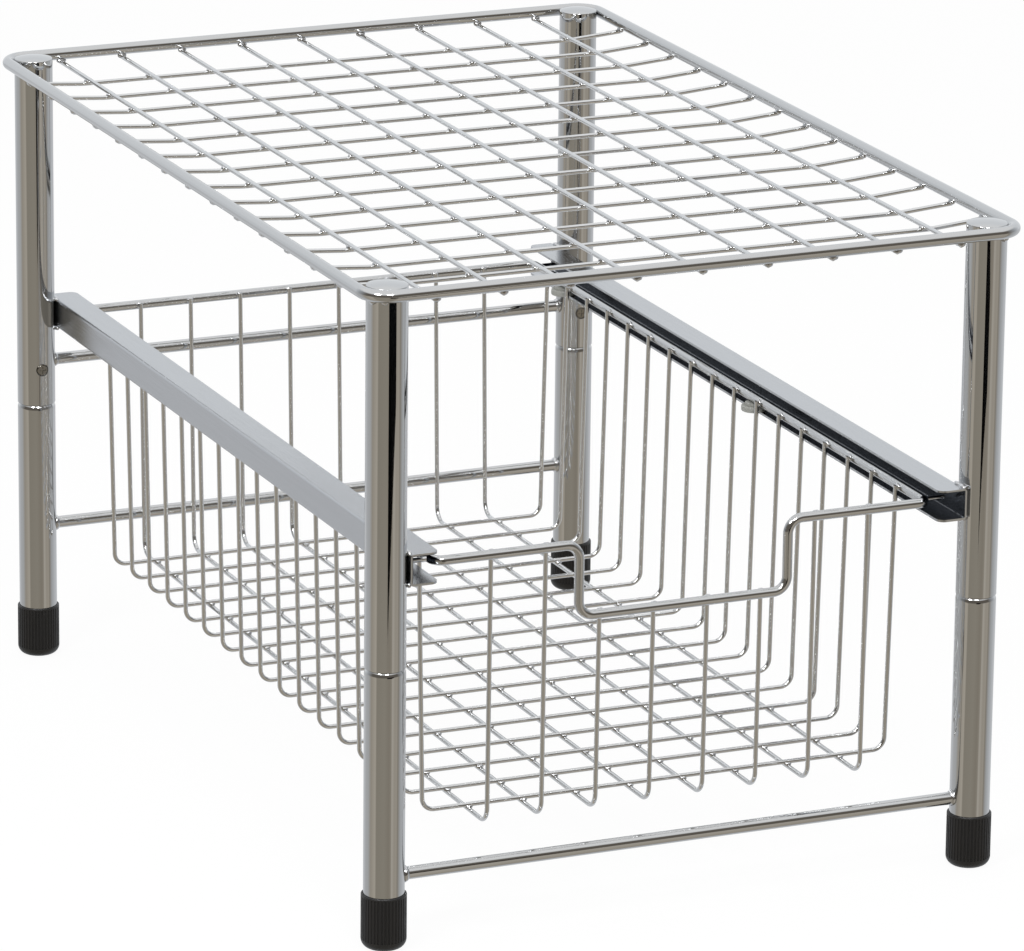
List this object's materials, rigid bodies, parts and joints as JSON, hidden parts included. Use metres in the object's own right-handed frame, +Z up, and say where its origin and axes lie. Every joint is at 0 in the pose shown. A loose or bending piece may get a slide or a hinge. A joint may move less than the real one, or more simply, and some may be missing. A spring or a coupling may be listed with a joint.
{
  "type": "pull out cabinet basket",
  "caption": "Free-standing wire shelf on tube legs with a wire basket that slides out to the front in channel rails under the shelf.",
  "frame": {"origin": "on the floor, under the centre of the four feet", "axes": "+Z up, -Y towards the front where the basket comes out, +X to the right seen from the front"},
  "size_m": [0.3276, 0.4906, 0.3125],
  "materials": {
    "chrome_rod": "bright chrome plate on steel rod",
    "chrome_wire": "bright chrome plate on steel wire",
    "chrome_tube": "bright chrome plate on steel tube",
    "chrome_cap": "bright chrome plate",
    "chrome_sheet": "chrome plate on folded steel sheet, slightly satin",
    "foot_plastic": "matt black moulded plastic",
    "glide_plastic": "translucent grey-white moulded plastic",
    "screw_steel": "plated steel"
  },
  "bodies": {
    "frame": {"shelf_rim": "chrome_rod", "shelf_long_wires": "chrome_wire", "shelf_cross_wires": "chrome_wire", "post_front_left": "chrome_tube", "post_front_right": "chrome_tube", "post_rear_left": "chrome_tube", "post_rear_right": "chrome_tube", "post_cap_front_left": "chrome_cap", "post_cap_front_right": "chrome_cap", "post_cap_rear_left": "chrome_cap", "post_cap_rear_right": "chrome_cap", "rail_left": "chrome_sheet", "rail_right": "chrome_sheet", "rear_upper_crossbar": "chrome_rod", "rear_lower_crossbar": "chrome_rod", "front_lower_crossbar": "chrome_rod", "leg_front_left": "chrome_tube", "leg_front_right": "chrome_tube", "leg_rear_left": "chrome_tube", "leg_rear_right": "chrome_tube", "foot_front_left": "foot_plastic", "foot_front_right": "foot_plastic", "foot_rear_left": "foot_plastic", "foot_rear_right": "foot_plastic", "leg_screws": "screw_steel"},
    "basket": {"basket_rim": "chrome_rod", "basket_cross_wires": "chrome_wire", "basket_long_wires": "chrome_wire", "glide_buttons": "glide_plastic", "guide_pins": "chrome_wire"}
  },
  "joints": [
    {"name": "basket_slide", "type": "slide", "parent": "frame", "child": "basket", "axis": [0, -1, 0], "range_m": [0, 0.18]}
  ]
}
